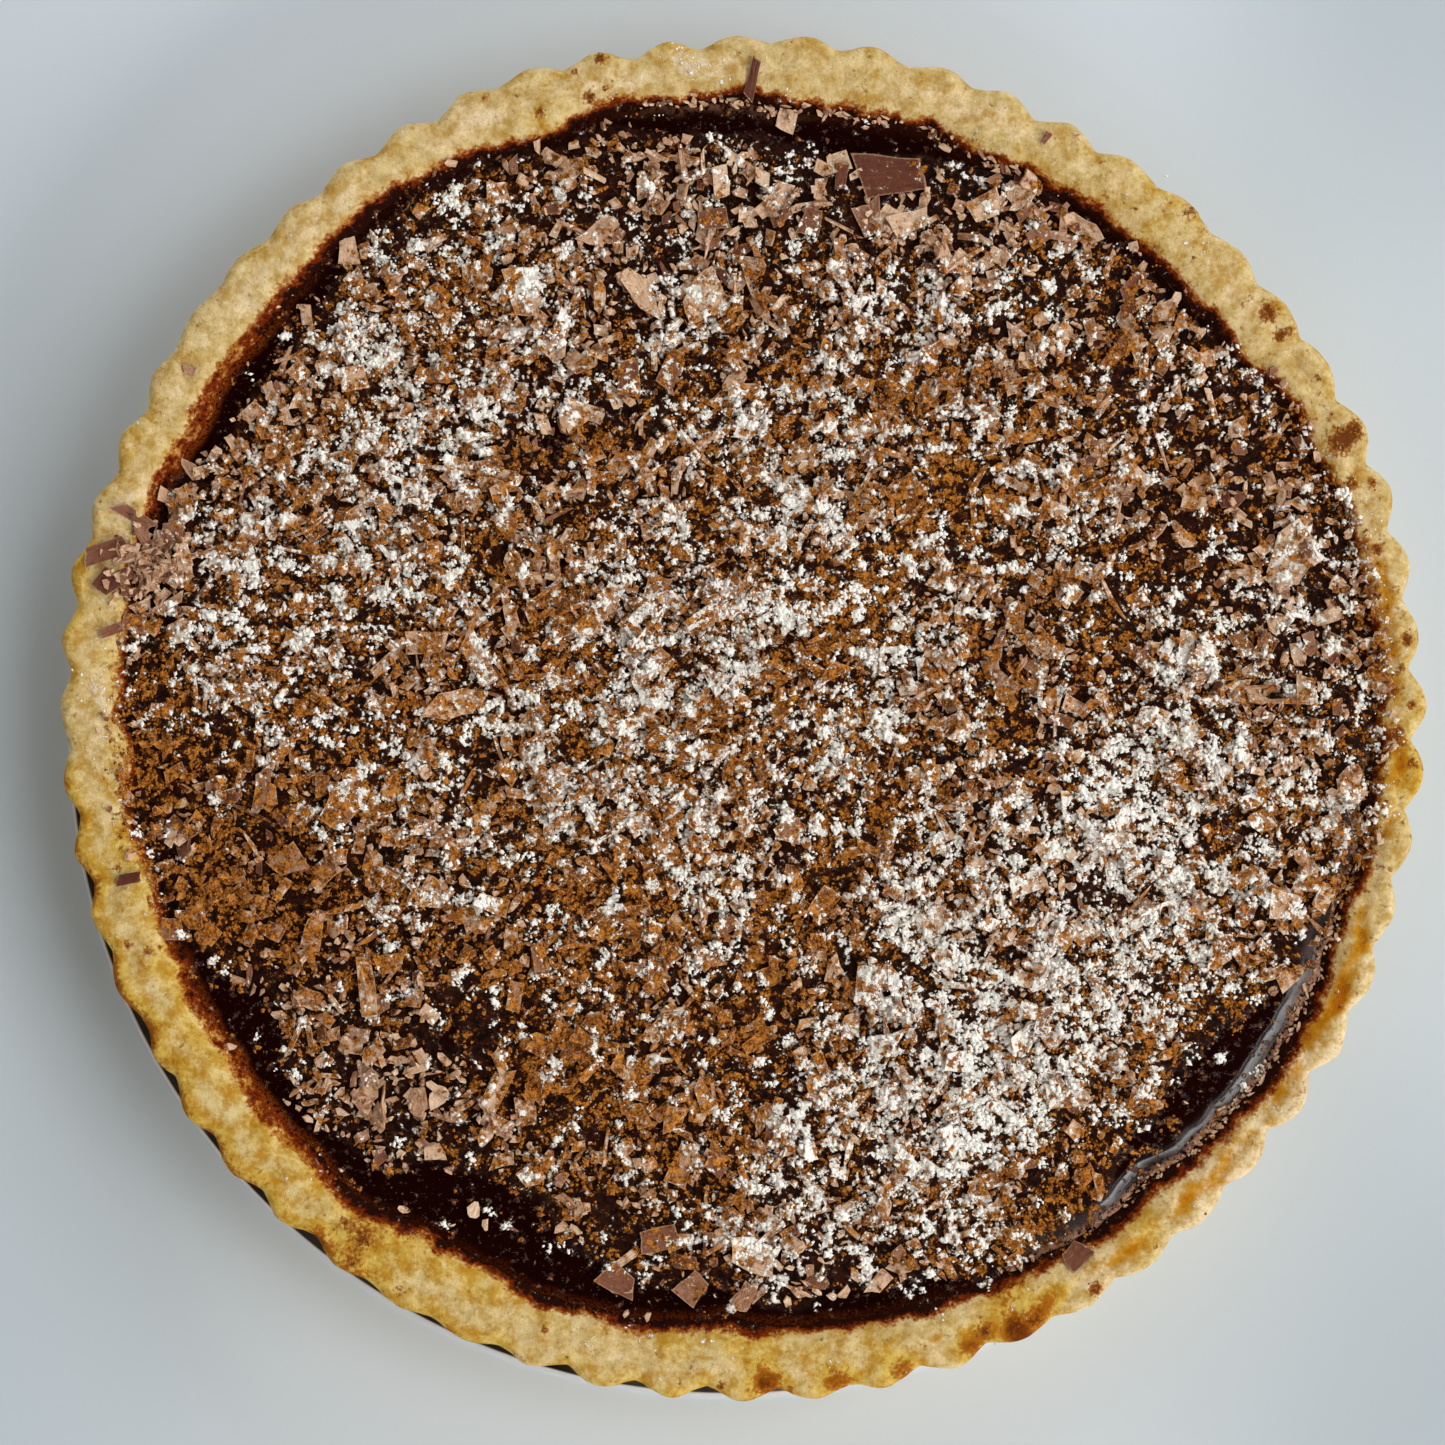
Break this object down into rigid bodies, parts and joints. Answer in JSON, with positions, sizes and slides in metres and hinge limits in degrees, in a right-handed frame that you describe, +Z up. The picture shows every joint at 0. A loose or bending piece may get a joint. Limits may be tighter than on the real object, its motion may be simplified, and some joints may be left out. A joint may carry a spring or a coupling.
{
  "type": "chocolate tart",
  "caption": "Whole round chocolate tart: fluted shortcrust case, dark ganache filling scattered with chocolate shavings, on the loose round steel base of its tin.",
  "frame": {"origin": "on the underside of the tin base, on the axis of the pastry case", "axes": "+Z up through the tart, -Z the way the tin base rests; +X and +Y level, the rim narrowest towards +X"},
  "size_m": [0.2805, 0.2822, 0.0308],
  "materials": {
    "steel": "dark oven-stained sheet steel, satin, with a bright cut edge",
    "pastry": "baked shortcrust pastry, pale gold with browned patches, matt and slightly grainy",
    "ganache": "dark glossy ganache under chocolate shavings, cocoa powder and icing sugar"
  },
  "bodies": {
    "root": {"tin_base": "steel", "pastry_case": "pastry", "ganache_filling": "ganache"}
  },
  "joints": []
}
